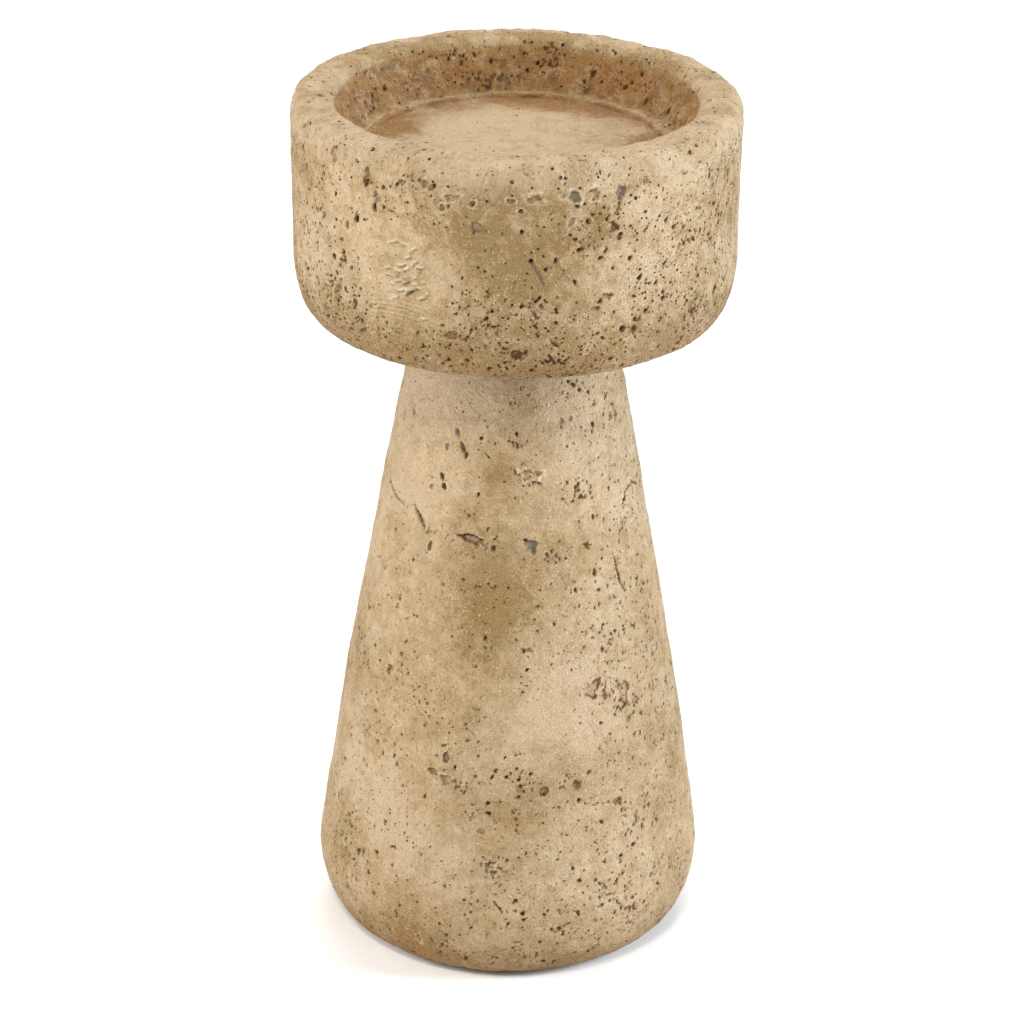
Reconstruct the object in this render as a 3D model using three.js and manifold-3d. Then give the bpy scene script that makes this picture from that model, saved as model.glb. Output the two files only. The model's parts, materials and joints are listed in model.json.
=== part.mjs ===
// Pillar candle holder: a shallow round cup of cast stone on a tall hollow cast pedestal.
// The two castings are centred by a spigot and drawn together by a short tie rod inside.
// Millimetres, +Z up. The holder stands on z = 0 and its axis is the Z axis.

import * as THREE from 'three';
import { mergeVertices } from 'three/addons/utils/BufferGeometryUtils.js';
import Module from 'manifold-3d';

// Felt pad and closing board under the pedestal
const FELT_RADIUS = 48;
const FELT_THICKNESS = 1;
const BOARD_RADIUS = 41.7;
const BOARD_THICKNESS = 3;
const BOARD_CLEARANCE = 0.3;

// Pedestal casting
const PEDESTAL_BASE_Z = FELT_THICKNESS;
const FOOT_FLAT_RADIUS = 49;
const FOOT_RADIUS = 60;
const FOOT_ROUND_HEIGHT = 22;
const SHOULDER_Z = 203;
const SHOULDER_RADIUS = 28.6;
const SIDE_BOW = 1.4;
const CORE_BASE_RADIUS = 39;
const CORE_TOP_RADIUS = 16.5;
const CORE_TOP_ROUND = 4;
const WEB_THICKNESS = 14;
const ROD_HOLE_RADIUS = 5;

// Spigot on the pedestal, the socket that it enters, and the gasket round it
const SPIGOT_RADIUS = 19;
const SPIGOT_HEIGHT = 8;
const SPIGOT_CHAMFER = 1;
const SOCKET_CLEARANCE = 0.5;
const SOCKET_DEPTH = 9;
const GASKET_RADIUS = 27;
const GASKET_THICKNESS = 1;

// Cup casting
const CUP_Z = SHOULDER_Z + GASKET_THICKNESS;
const CUP_HEIGHT = 65;
const CUP_RADIUS = 66;
const CUP_DRAFT = 0.3;
const CUP_EDGE_WIDTH = 7;
const CUP_EDGE_HEIGHT = 18;
const RIM_OUTER_WIDTH = 4;
const RIM_OUTER_HEIGHT = 7;
const RIM_INNER_ROUND = 3;
const MOUTH_RADIUS = 53;
const RECESS_DEPTH = 15.5;
const RECESS_WALL_FOOT_RADIUS = 48;
const RECESS_FOOT_ROUND = 1.5;
const LEDGE_HEIGHT = 1;
const LEDGE_INNER_RADIUS = 44;
const LEDGE_SLOPE = 1;

// M8 tie rod and its hardware
const ROD_RADIUS = 4;
const ROD_CHAMFER = 1;
const ROD_ENGAGEMENT = 13;
const ROD_STICK_OUT = 5.5;
const THREAD_GAP = 0.3;
const INSERT_RADIUS = 7;
const INSERT_GROOVE_RADIUS = 6.2;
const INSERT_GROOVE_WIDTH = 2;
const INSERT_LENGTH = 16;
const INSERT_POCKET_GAP = 0.3;
const FENDER_WASHER_RADIUS = 12;
const FENDER_WASHER_THICKNESS = 2;
const SPRING_WASHER_RADIUS = 7.4;
const SPRING_WASHER_THICKNESS = 2;
const SPRING_WASHER_SPLIT = 0.28;
const NUT_ACROSS_FLATS = 13;
const NUT_HEIGHT = 6.5;
const NUT_CHAMFER = 1.2;

// Facets round a full turn
const CASTING_SEGMENTS = 64;
const HARDWARE_SEGMENTS = 32;

// Heights that follow from the dimensions above
const PEDESTAL_SPIGOT_Z = SHOULDER_Z + SPIGOT_HEIGHT;
const WEB_Z = SHOULDER_Z - WEB_THICKNESS;
const BOARD_TOP_Z = PEDESTAL_BASE_Z + BOARD_THICKNESS;
const SOCKET_TOP_Z = CUP_Z + SOCKET_DEPTH;
const RIM_Z = CUP_Z + CUP_HEIGHT;
const FLOOR_Z = RIM_Z - RECESS_DEPTH;
const FENDER_WASHER_Z = WEB_Z - FENDER_WASHER_THICKNESS;
const SPRING_WASHER_Z = FENDER_WASHER_Z - SPRING_WASHER_THICKNESS;
const NUT_Z = SPRING_WASHER_Z - NUT_HEIGHT;
const ROD_BOTTOM_Z = NUT_Z - ROD_STICK_OUT;
const ROD_TOP_Z = SOCKET_TOP_Z + ROD_ENGAGEMENT;

const QUARTER_TURN = Math.PI / 2;

const castStone = new THREE.MeshStandardMaterial({ color: 0xcdb085, roughness: 0.9, metalness: 0 });
const zincSteel = new THREE.MeshStandardMaterial({ color: 0xb4b7ba, roughness: 0.35, metalness: 1 });
const brass = new THREE.MeshStandardMaterial({ color: 0xc39a4a, roughness: 0.35, metalness: 1 });
const cork = new THREE.MeshStandardMaterial({ color: 0x9c7448, roughness: 0.95, metalness: 0 });
const hardboard = new THREE.MeshStandardMaterial({ color: 0x6e4f34, roughness: 0.8, metalness: 0 });
const felt = new THREE.MeshStandardMaterial({ color: 0x2e2a27, roughness: 1, metalness: 0 });

// Points of an elliptical arc round (r, z), from one angle to another, both ends included
function arc(r, z, radiusR, radiusZ, from, to, steps) {
  return Array.from({ length: steps + 1 }, (_, i) => {
    const angle = from + ((to - from) * i) / steps;
    return [r + radiusR * Math.cos(angle), z + radiusZ * Math.sin(angle)];
  });
}

// Solid of revolution about Z. The profile lists (radius, z) points from the bottom outwards and up.
function turned(profile, segments) {
  const points = profile.map(([r, z]) => new THREE.Vector2(r, z));
  return new THREE.LatheGeometry(points, segments).rotateX(QUARTER_TURN);
}

function disc(radius, bottom, top, segments) {
  return turned([[0, bottom], [radius, bottom], [radius, top], [0, top]], segments);
}

function ring(innerRadius, outerRadius, bottom, top, segments) {
  const corners = [[innerRadius, bottom], [outerRadius, bottom], [outerRadius, top], [innerRadius, top]];
  return turned([...corners, corners[0]], segments);
}

// Flank of the pedestal: a cone with a slight outward bow, from the rounded foot to the shoulder
function pedestalFlank(steps) {
  const start = PEDESTAL_BASE_Z + FOOT_ROUND_HEIGHT;
  return Array.from({ length: steps }, (_, i) => {
    const t = (i + 1) / steps;
    const bow = 4 * SIDE_BOW * t * (1 - t);
    return [
      THREE.MathUtils.lerp(FOOT_RADIUS, SHOULDER_RADIUS, t) + bow,
      THREE.MathUtils.lerp(start, SHOULDER_Z, t),
    ];
  });
}

// Hollow from below, with a rebate for the board and a web on top that the tie rod passes through
function pedestalGeometry() {
  const rebate = BOARD_RADIUS + BOARD_CLEARANCE;
  const footCentreZ = PEDESTAL_BASE_Z + FOOT_ROUND_HEIGHT;
  const footRoundWidth = FOOT_RADIUS - FOOT_FLAT_RADIUS;
  const coreRound = arc(
    CORE_TOP_RADIUS - CORE_TOP_ROUND, WEB_Z - CORE_TOP_ROUND,
    CORE_TOP_ROUND, CORE_TOP_ROUND, QUARTER_TURN, 0, 3,
  );
  const start = [rebate, PEDESTAL_BASE_Z];
  return turned([
    start,
    ...arc(FOOT_FLAT_RADIUS, footCentreZ, footRoundWidth, FOOT_ROUND_HEIGHT, -QUARTER_TURN, 0, 7),
    ...pedestalFlank(8),
    [SPIGOT_RADIUS, SHOULDER_Z],
    [SPIGOT_RADIUS, PEDESTAL_SPIGOT_Z - SPIGOT_CHAMFER],
    [SPIGOT_RADIUS - SPIGOT_CHAMFER, PEDESTAL_SPIGOT_Z],
    [ROD_HOLE_RADIUS, PEDESTAL_SPIGOT_Z],
    [ROD_HOLE_RADIUS, WEB_Z],
    ...coreRound,
    [CORE_BASE_RADIUS, BOARD_TOP_Z],
    [rebate, BOARD_TOP_Z],
    start,
  ], CASTING_SEGMENTS);
}

// Straight-sided drum with a rounded lower edge and rim, a shallow candle recess with a narrow ledge
// round its floor, and a socket and insert pocket in its underside
function cupGeometry() {
  const socketRadius = SPIGOT_RADIUS + SOCKET_CLEARANCE;
  const pocketRadius = INSERT_RADIUS + INSERT_POCKET_GAP;
  const pocketTopZ = SOCKET_TOP_Z + INSERT_LENGTH + INSERT_POCKET_GAP;
  const sideRadius = CUP_RADIUS - CUP_DRAFT;
  const ledgeZ = FLOOR_Z + LEDGE_HEIGHT;
  return turned([
    [0, pocketTopZ],
    [pocketRadius, pocketTopZ],
    [pocketRadius, SOCKET_TOP_Z],
    [socketRadius, SOCKET_TOP_Z],
    [socketRadius, CUP_Z],
    ...arc(sideRadius - CUP_EDGE_WIDTH, CUP_Z + CUP_EDGE_HEIGHT,
      CUP_EDGE_WIDTH, CUP_EDGE_HEIGHT, -QUARTER_TURN, 0, 7),
    ...arc(CUP_RADIUS - RIM_OUTER_WIDTH, RIM_Z - RIM_OUTER_HEIGHT,
      RIM_OUTER_WIDTH, RIM_OUTER_HEIGHT, 0, QUARTER_TURN, 5),
    ...arc(MOUTH_RADIUS + RIM_INNER_ROUND, RIM_Z - RIM_INNER_ROUND,
      RIM_INNER_ROUND, RIM_INNER_ROUND, QUARTER_TURN, 2 * QUARTER_TURN, 4),
    ...arc(RECESS_WALL_FOOT_RADIUS - RECESS_FOOT_ROUND, ledgeZ + RECESS_FOOT_ROUND,
      RECESS_FOOT_ROUND, RECESS_FOOT_ROUND, 0, -QUARTER_TURN, 2),
    [LEDGE_INNER_RADIUS, ledgeZ],
    [LEDGE_INNER_RADIUS - LEDGE_SLOPE, FLOOR_Z],
    [0, FLOOR_Z],
  ], CASTING_SEGMENTS);
}

function tieRodGeometry() {
  return turned([
    [0, ROD_BOTTOM_Z],
    [ROD_RADIUS - ROD_CHAMFER, ROD_BOTTOM_Z],
    [ROD_RADIUS, ROD_BOTTOM_Z + ROD_CHAMFER],
    [ROD_RADIUS, ROD_TOP_Z - ROD_CHAMFER],
    [ROD_RADIUS - ROD_CHAMFER, ROD_TOP_Z],
    [0, ROD_TOP_Z],
  ], HARDWARE_SEGMENTS);
}

// Bush with two grooves round it that key it into the casting
function insertGeometry() {
  const bore = ROD_RADIUS + THREAD_GAP;
  const grooves = [1, 2].flatMap((n) => {
    const middle = SOCKET_TOP_Z + (n * INSERT_LENGTH) / 3;
    const low = middle - INSERT_GROOVE_WIDTH / 2;
    const high = middle + INSERT_GROOVE_WIDTH / 2;
    return [
      [INSERT_RADIUS, low],
      [INSERT_GROOVE_RADIUS, low],
      [INSERT_GROOVE_RADIUS, high],
      [INSERT_RADIUS, high],
    ];
  });
  return turned([
    [bore, SOCKET_TOP_Z],
    [INSERT_RADIUS, SOCKET_TOP_Z],
    ...grooves,
    [INSERT_RADIUS, SOCKET_TOP_Z + INSERT_LENGTH],
    [bore, SOCKET_TOP_Z + INSERT_LENGTH],
    [bore, SOCKET_TOP_Z],
  ], HARDWARE_SEGMENTS);
}

// Ring cut through on one side, flat because the nut presses it closed
function springWasherGeometry() {
  const shape = new THREE.Shape();
  const from = SPRING_WASHER_SPLIT / 2;
  const to = 2 * Math.PI - SPRING_WASHER_SPLIT / 2;
  shape.absarc(0, 0, SPRING_WASHER_RADIUS, from, to, false);
  shape.absarc(0, 0, ROD_RADIUS + THREAD_GAP, to, from, true);
  return new THREE.ExtrudeGeometry(shape, {
    depth: SPRING_WASHER_THICKNESS,
    bevelEnabled: false,
    curveSegments: HARDWARE_SEGMENTS,
  }).translate(0, 0, SPRING_WASHER_Z);
}

const manifold = await Module();
manifold.setup();

function toSolid(geometry) {
  const bare = geometry.clone();
  bare.deleteAttribute('normal');
  bare.deleteAttribute('uv');
  const merged = mergeVertices(bare);
  return new manifold.Manifold(new manifold.Mesh({
    numProp: 3,
    vertProperties: Float32Array.from(merged.attributes.position.array),
    triVerts: Uint32Array.from(merged.index.array),
  }));
}

function fromSolid(solid) {
  const mesh = solid.getMesh();
  const geometry = new THREE.BufferGeometry();
  geometry.setAttribute('position', new THREE.BufferAttribute(mesh.vertProperties, mesh.numProp));
  geometry.setIndex(new THREE.BufferAttribute(mesh.triVerts, 1));
  geometry.computeVertexNormals();
  return geometry;
}

// Hexagon bar cut to a turned blank, which gives the rounded chamfers on the corners
function nutGeometry() {
  const cornerRadius = NUT_ACROSS_FLATS / Math.sqrt(3);
  const top = NUT_Z + NUT_HEIGHT;
  const bore = ROD_RADIUS + THREAD_GAP;
  const faceRadius = NUT_ACROSS_FLATS / 2 - NUT_CHAMFER / 2;
  const blank = turned([
    [bore, NUT_Z],
    [faceRadius, NUT_Z],
    [cornerRadius, NUT_Z + NUT_CHAMFER],
    [cornerRadius, top - NUT_CHAMFER],
    [faceRadius, top],
    [bore, top],
    [bore, NUT_Z],
  ], HARDWARE_SEGMENTS);
  const bar = turned([[0, NUT_Z], [cornerRadius, NUT_Z], [cornerRadius, top], [0, top]], 6);
  return fromSolid(toSolid(blank).intersect(toSolid(bar)));
}

const holder = new THREE.Group();

function add(parent, name, geometry, material) {
  const mesh = new THREE.Mesh(geometry, material);
  mesh.name = name;
  parent.add(mesh);
}

const base = new THREE.Group();
holder.add(base);
add(base, 'felt_pad', disc(FELT_RADIUS, 0, FELT_THICKNESS, CASTING_SEGMENTS), felt);
add(base, 'base_board', disc(BOARD_RADIUS, PEDESTAL_BASE_Z, BOARD_TOP_Z, CASTING_SEGMENTS), hardboard);

const castings = new THREE.Group();
holder.add(castings);
add(castings, 'pedestal', pedestalGeometry(), castStone);
add(castings, 'candle_cup', cupGeometry(), castStone);
add(
  castings, 'joint_gasket',
  ring(SPIGOT_RADIUS + SOCKET_CLEARANCE, GASKET_RADIUS, SHOULDER_Z, CUP_Z, CASTING_SEGMENTS), cork,
);

const tie = new THREE.Group();
holder.add(tie);
add(tie, 'threaded_insert', insertGeometry(), brass);
add(tie, 'tie_rod', tieRodGeometry(), zincSteel);
add(
  tie, 'fender_washer',
  ring(ROD_RADIUS + THREAD_GAP, FENDER_WASHER_RADIUS, FENDER_WASHER_Z, WEB_Z, HARDWARE_SEGMENTS), zincSteel,
);
add(tie, 'spring_washer', springWasherGeometry(), zincSteel);
add(tie, 'hex_nut', nutGeometry(), zincSteel);

export default holder;
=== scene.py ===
"""Pillar candle holder in cast stone that looks like travertine: a shallow cup on a tall pedestal.

The two castings replace their plain CAD solids with dense displaced meshes. The surface is worked out in
two steps: each casting is first a smooth turned shape, and then its pits, cracks, ridges and waviness are
pressed into a height field over that shape, which also keeps the masks that colour the material.
Lengths inside the script are millimetres until a mesh is written in metres. Angles go round the Z axis in
degrees: 0 is the side that faces the camera, and 90 is the right.
"""
import json
import math

import bpy
import numpy as np
from mathutils import Matrix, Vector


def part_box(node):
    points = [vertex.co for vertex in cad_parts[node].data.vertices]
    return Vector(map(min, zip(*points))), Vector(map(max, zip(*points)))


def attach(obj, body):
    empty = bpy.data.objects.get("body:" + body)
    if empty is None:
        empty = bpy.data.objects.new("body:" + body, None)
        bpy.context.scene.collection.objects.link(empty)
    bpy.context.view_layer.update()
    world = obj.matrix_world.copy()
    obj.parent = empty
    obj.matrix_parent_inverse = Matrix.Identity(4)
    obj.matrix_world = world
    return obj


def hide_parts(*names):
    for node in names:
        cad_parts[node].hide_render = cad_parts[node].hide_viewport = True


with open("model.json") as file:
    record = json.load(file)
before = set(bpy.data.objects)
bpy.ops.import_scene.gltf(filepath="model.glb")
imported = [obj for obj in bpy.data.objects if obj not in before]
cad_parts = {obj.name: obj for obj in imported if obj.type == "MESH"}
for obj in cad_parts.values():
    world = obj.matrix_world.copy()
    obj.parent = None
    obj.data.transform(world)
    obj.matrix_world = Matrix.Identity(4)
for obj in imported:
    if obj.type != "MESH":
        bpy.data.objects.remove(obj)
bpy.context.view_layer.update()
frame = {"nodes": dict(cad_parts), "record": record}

MM = 0.001
TAU = 2 * math.pi


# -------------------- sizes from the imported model, in mm

def box_mm(node):
    low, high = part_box(node)
    return [value / MM for value in low], [value / MM for value in high]


CUP_LOW, CUP_HIGH = box_mm("candle_cup")
PEDESTAL_LOW, PEDESTAL_HIGH = box_mm("pedestal")
GASKET_LOW, GASKET_HIGH = box_mm("joint_gasket")
BOARD_LOW, BOARD_HIGH = box_mm("base_board")
INSERT_LOW, INSERT_HIGH = box_mm("threaded_insert")
WASHER_LOW, WASHER_HIGH = box_mm("fender_washer")
SEAT_Z = next(m["pos_m"][2] for m in frame["record"]["mounts"] if m["name"] == "candle_seat") / MM

CUP_RADIUS = CUP_HIGH[0]
CUP_Z = CUP_LOW[2]
RIM_Z = CUP_HIGH[2]
FOOT_RADIUS = PEDESTAL_HIGH[0]
BASE_Z = PEDESTAL_LOW[2]
SHOULDER_Z = GASKET_LOW[2]
SPIGOT_Z = PEDESTAL_HIGH[2]
WEB_Z = WASHER_HIGH[2]

# Details of the outlines that the boxes don't show
CUP_DRAFT = 0.3
CUP_EDGE = (7, 18)
RIM_OUTER = (4, 7)
RIM_INNER = 3
MOUTH_RADIUS = 53
WALL_FOOT_RADIUS = 48
WALL_FOOT_ROUND = 1.5
LEDGE_HEIGHT = 1
LEDGE_RADIUS = 44
SPIGOT_RADIUS = 19
SOCKET_RADIUS = 19.5
SOCKET_DEPTH = 9
POCKET_GAP = 0.3
FOOT_ROUND = (11, 22)
SHOULDER_RADIUS = 28.6
SIDE_BOW = 1.4
REBATE_RADIUS = 42
CORE_BASE_RADIUS = 39
CORE_TOP_RADIUS = 16.5
CORE_ROUND = 4
ROD_HOLE_RADIUS = 5

# Spacing of the mesh rows along the profile, and how many columns go round
FINE = 0.4
MEDIUM = 0.9
COARSE = 3.0
CUP_SEGMENTS = 1040
PEDESTAL_SEGMENTS = 900


# -------------------- camera, light and floor

CAMERA_DISTANCE = 950
CAMERA_HEIGHT = 577.7
CAMERA_PITCH = math.radians(25.01)
CAMERA_ROLL = math.radians(0.69)
CAMERA_LENS = 120
CAMERA_REACH = 20
SENSOR = 36
FLOOR_HALF_WIDTH = 6.0
FLOOR_SHADE = 0.9
WORLD_STRENGTH = 0.36


def put(name, data):
    """A new object in the scene."""
    made = bpy.data.objects.new(name, data)
    bpy.context.scene.collection.objects.link(made)
    return made


def make_camera():
    data = bpy.data.cameras.new("camera")
    data.sensor_width = SENSOR
    data.lens = CAMERA_LENS
    data.clip_end = CAMERA_REACH
    camera = put("camera", data)
    turn = Matrix.Rotation(math.pi / 2 - CAMERA_PITCH, 4, "X") @ Matrix.Rotation(CAMERA_ROLL, 4, "Z")
    place = Matrix.Translation((0, -CAMERA_DISTANCE * MM, CAMERA_HEIGHT * MM))
    camera.matrix_world = place @ turn
    bpy.context.scene.camera = camera


def area_light(name, azimuth, elevation, distance, size, power, colour):
    """Soft box that faces the middle of the holder, distance and size in metres."""
    data = bpy.data.lights.new(name, "AREA")
    data.shape = "RECTANGLE"
    data.size, data.size_y = size
    data.energy = power
    data.color = colour
    a, e = math.radians(azimuth), math.radians(elevation)
    back = Matrix.Rotation(a, 4, "Z") @ Matrix.Rotation(math.pi / 2 - e, 4, "X")
    aim = Matrix.Translation((0, 0, RIM_Z / 2 * MM))
    put(name, data).matrix_world = aim @ back @ Matrix.Translation((0, 0, distance))


def make_stage():
    area_light("light_left", -78, 22, 1.2, (0.28, 0.5), 10.5, (1.0, 0.985, 0.97))
    area_light("light_right", 78, 22, 1.2, (0.28, 0.5), 17.5, (0.82, 0.9, 1.0))
    area_light("light_key", -14, 50, 1.5, (0.3, 0.3), 11.5, (1.0, 0.955, 0.87))
    area_light("light_fill", 4, 4, 1.6, (0.9, 0.5), 2.0, (1.0, 0.9, 0.7))
    area_light("light_back", 170, 58, 1.6, (1.0, 1.0), 16.5, (1.0, 0.99, 0.97))
    world = bpy.data.worlds.new("studio")
    bpy.context.scene.world = world
    world.use_nodes = True
    background = world.node_tree.nodes["Background"]
    background.inputs["Color"].default_value = (1.0, 0.985, 0.96, 1)
    background.inputs["Strength"].default_value = WORLD_STRENGTH
    bpy.context.scene.view_settings.view_transform = "Standard"

    half = FLOOR_HALF_WIDTH
    mesh = bpy.data.meshes.new("floor")
    corners = [(-half, -half, 0), (half, -half, 0), (half, half, 0), (-half, half, 0)]
    mesh.from_pydata(corners, [], [(0, 1, 2, 3)])
    floor = put("floor", mesh)
    paint = Material("floor_paint")
    paint.set(Base_Color=(FLOOR_SHADE, FLOOR_SHADE, FLOOR_SHADE), Roughness=0.85)
    floor.data.materials.append(paint.material)


# -------------------- material building helper

class Material:
    """A node material with one Principled shader, and short calls for the nodes that feed it."""

    def __init__(self, name):
        self.material = bpy.data.materials.new(name)
        self.material.use_nodes = True
        self.nodes = self.material.node_tree.nodes
        self.links = self.material.node_tree.links
        self.shader = self.nodes["Principled BSDF"]
        self.place = None

    def feed(self, socket, value):
        if hasattr(value, "node"):
            self.links.new(value, socket)
        elif socket.type == "RGBA" and len(value) == 3:
            socket.default_value = (*value, 1.0)
        else:
            socket.default_value = value

    def add(self, kind, sockets=None, **settings):
        """Adds a shader node with its settings, feeds its input sockets, and gives its outputs."""
        node = self.nodes.new("ShaderNode" + kind)
        for key, value in settings.items():
            setattr(node, key, value)
        for key, value in (sockets or {}).items():
            self.feed(node.inputs[key], value)
        return node.outputs

    def set(self, **sockets):
        """Plain values or links for the shader's sockets, with _ for each space in a socket's name."""
        for key, value in sockets.items():
            self.feed(self.shader.inputs[key.replace("_", " ")], value)

    def position(self):
        """Object coordinates in millimetres, so that a texture's scale is one over a size in mm."""
        if self.place is None:
            metres = self.add("TexCoord")["Object"]
            self.place = self.add("VectorMath", {0: metres, "Scale": 1 / MM}, operation="SCALE")[0]
        return self.place

    def shifted(self, offset, stretch=(1, 1, 1), vector=None):
        place = vector or self.position()
        return self.add("Mapping", {"Vector": place, "Location": offset, "Scale": stretch})[0]

    def bent(self, vector, size, amount):
        """The vector pushed about by noise, amount in mm."""
        noise = self.add("TexNoise", {"Vector": vector, "Scale": 1 / size, "Detail": 1.0})["Color"]
        centred = self.add("VectorMath", {0: noise, 1: (0.5, 0.5, 0.5)}, operation="SUBTRACT")[0]
        push = {0: centred, 1: (2 * amount, 2 * amount, 2 * amount), 2: vector}
        return self.add("VectorMath", push, operation="MULTIPLY_ADD")[0]

    def turned(self, across, outward, along):
        """Arc length at the cup's side, radius and height, each divided by its own size in mm."""
        x, y, z = self.add("SeparateXYZ", {0: self.position()})
        angle = self.math("ARCTAN2", x, y)
        radius = self.math("SQRT", self.plus(self.times(x, x), self.times(y, y)))
        parts = {0: self.times(angle, CUP_RADIUS / across), 1: self.times(radius, 1 / outward),
                 2: self.times(z, 1 / along)}
        return self.add("CombineXYZ", parts)[0]

    def noise(self, size, detail=3.0, rough=0.5, warp=0.0, vector=None):
        look = {"Vector": vector or self.position(), "Scale": 1 / size, "Detail": detail,
                "Roughness": rough, "Distortion": warp}
        return self.add("TexNoise", look)["Fac"]

    def cells(self, size, vector):
        return self.add("TexVoronoi", {"Vector": vector, "Scale": 1 / size})

    def dots(self, size, radius, amount, vector):
        """Round spots up to radius mm, one at most in each cell of a size; amount is the share of cells."""
        cells = self.cells(size, vector)
        pick = self.add("SeparateColor", {0: cells["Color"]})
        chosen = self.math("LESS_THAN", pick[0], amount)
        reach = self.step(pick[1], 0.0, 1.0, 0.5 * radius / size, radius / size)
        distance = self.math("DIVIDE", cells["Distance"], reach)
        return self.times(self.step(distance, 1.0, 0.7), chosen)

    def step(self, value, low, high, out_low=0.0, out_high=1.0):
        """A smooth step of a value from low to high, which goes from out_low to out_high."""
        limits = {"Value": value, "From Min": low, "From Max": high, "To Min": out_low, "To Max": out_high}
        return self.add("MapRange", limits, interpolation_type="SMOOTHSTEP")[0]

    def math(self, operation, first, second=0.0):
        return self.add("Math", {0: first, 1: second}, operation=operation)[0]

    def times(self, first, second):
        return self.math("MULTIPLY", first, second)

    def plus(self, *values):
        total = values[0]
        for value in values[1:]:
            total = self.math("ADD", total, value)
        return total

    def mix(self, factor, first, second):
        """Two colours mixed. A Mix node's colours are its sockets 6 and 7, and its colour output is 2."""
        return self.add("Mix", {0: factor, 6: first, 7: second}, data_type="RGBA")[2]

    def mask(self, name):
        return self.add("Attribute", attribute_name=name)["Fac"]

    def bump(self, height, strength, distance_mm, normal=None):
        sockets = {"Height": height, "Strength": strength, "Distance": distance_mm * MM}
        if normal:
            sockets["Normal"] = normal
        return self.add("Bump", sockets)[0]


# -------------------- noise fields

RANDOM = np.random.default_rng(7)
LATTICE_SIZE = 256
LATTICE = np.tile(RANDOM.permutation(LATTICE_SIZE), 2)
GRADIENTS = RANDOM.normal(size=(LATTICE_SIZE, 3)).astype(np.float32)
GRADIENTS /= np.linalg.norm(GRADIENTS, axis=1, keepdims=True)
NOISE_GAIN = 1.6
OCTAVE_SHIFT = 17.3


def gradient_noise(points):
    """Smooth noise of about -1 to 1 at points given in lattice units."""
    cell = np.floor(points).astype(np.int64)
    part = (points - cell).astype(np.float32)
    ease = part * part * part * (part * (part * 6 - 15) + 10)
    total = 0
    for corner in range(8):
        step = np.array([corner & 1, corner >> 1 & 1, corner >> 2 & 1])
        c = (cell + step) & (LATTICE_SIZE - 1)
        index = LATTICE[LATTICE[LATTICE[c[..., 0]] + c[..., 1]] + c[..., 2]]
        weight = np.prod(np.where(step, ease, 1 - ease), axis=-1)
        total = total + weight * np.sum(GRADIENTS[index] * (part - step), axis=-1)
    return total * NOISE_GAIN


def field(points, size, octaves=1, shift=0.0):
    """Fractal noise whose largest features are about size mm across."""
    total, weight = 0, 1.0
    for octave in range(octaves):
        total = total + weight * gradient_noise(points / size * 2 ** octave + shift + OCTAVE_SHIFT * octave)
        weight /= 2
    return total


def smooth(low, high, value):
    """A smooth step from 0 at low to 1 at high, which may lie below low."""
    t = np.clip((value - low) / (high - low), 0, 1)
    return t * t * (3 - 2 * t)


def bell(value, middle, width):
    """A bell curve that is 1 at the middle."""
    return np.exp(-((value - middle) / width) ** 2)


# -------------------- turned outlines

class Outline:
    """Profile points (radius, height), each with the name of the zone that it lies in."""

    def __init__(self, r, z):
        self.points = [(r, z)]
        self.zones = ["start"]

    def curve(self, zone, place, length, spacing):
        count = max(1, round(length / spacing))
        for i in range(1, count + 1):
            self.points.append(place(i / count))
            self.zones.append(zone)

    def line(self, zone, r, z, spacing):
        r0, z0 = self.points[-1]
        length = math.hypot(r - r0, z - z0)
        self.curve(zone, lambda t: (r0 + (r - r0) * t, z0 + (z - z0) * t), length, spacing)

    def arc(self, zone, r, z, radius_r, radius_z, start, end, spacing):
        first, last = math.radians(start), math.radians(end)

        def place(t):
            angle = first + (last - first) * t
            return r + radius_r * math.cos(angle), z + radius_z * math.sin(angle)

        ends = abs(last - first) * math.hypot(radius_r, radius_z) / math.sqrt(2)
        self.curve(zone, place, ends, spacing)


def cup_outline():
    edge_r, edge_z = CUP_EDGE
    rim_r, rim_z = RIM_OUTER
    pocket_radius = INSERT_HIGH[0] + POCKET_GAP
    pocket_top = INSERT_HIGH[2] + POCKET_GAP
    ledge_z = SEAT_Z + LEDGE_HEIGHT
    side = CUP_RADIUS - CUP_DRAFT
    path = Outline(0, pocket_top)
    socket_top = CUP_Z + SOCKET_DEPTH
    for r, z in ((pocket_radius, pocket_top), (pocket_radius, socket_top), (SOCKET_RADIUS, socket_top),
                 (SOCKET_RADIUS, CUP_Z), (SHOULDER_RADIUS, CUP_Z)):
        path.line("hidden", r, z, COARSE)
    path.line("under", side - edge_r, CUP_Z, MEDIUM)
    path.arc("side", side - edge_r, CUP_Z + edge_z, edge_r, edge_z, -90, 0, FINE)
    path.line("side", CUP_RADIUS, RIM_Z - rim_z, FINE)
    path.arc("rim", CUP_RADIUS - rim_r, RIM_Z - rim_z, rim_r, rim_z, 0, 90, FINE)
    path.line("rim", MOUTH_RADIUS + RIM_INNER, RIM_Z, FINE)
    path.arc("rim", MOUTH_RADIUS + RIM_INNER, RIM_Z - RIM_INNER, RIM_INNER, RIM_INNER, 90, 180, FINE)
    path.line("wall", WALL_FOOT_RADIUS, ledge_z + WALL_FOOT_ROUND, FINE)
    path.arc("wall", WALL_FOOT_RADIUS - WALL_FOOT_ROUND, ledge_z + WALL_FOOT_ROUND,
             WALL_FOOT_ROUND, WALL_FOOT_ROUND, 0, -90, FINE)
    path.line("ledge", LEDGE_RADIUS, ledge_z, FINE)
    path.line("floor", LEDGE_RADIUS - 1, SEAT_Z, FINE)
    path.line("floor", LEDGE_RADIUS - 12, SEAT_Z, 0.6)
    path.line("floor", 0, SEAT_Z, MEDIUM)
    return path


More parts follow.
